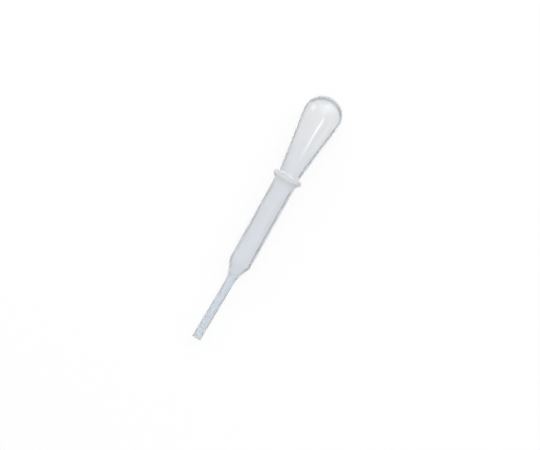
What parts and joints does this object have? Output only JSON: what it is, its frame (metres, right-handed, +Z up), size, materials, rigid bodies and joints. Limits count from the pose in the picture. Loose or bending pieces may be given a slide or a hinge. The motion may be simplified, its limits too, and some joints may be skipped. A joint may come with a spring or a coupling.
{
  "type": "dropper pipette",
  "caption": "Soft plastic squeeze pipette, moulded in one piece: thin open stem, round barrel, stop collar and pear-shaped bulb, lying on its side.",
  "frame": {"origin": "middle of the length and width, on the surface that the pipette lies on", "axes": "+X from the open tip towards the bulb, +Z up; the pipette's own axis climbs 2.88 degrees from tip to bulb, as it does when it rests on its barrel's shoulder and its bulb"},
  "size_m": [0.0898, 0.013, 0.013],
  "materials": {
    "polyethylene": "translucent, uncoloured, satin"
  },
  "bodies": {
    "root": {"pipette_body": "polyethylene"}
  },
  "joints": []
}
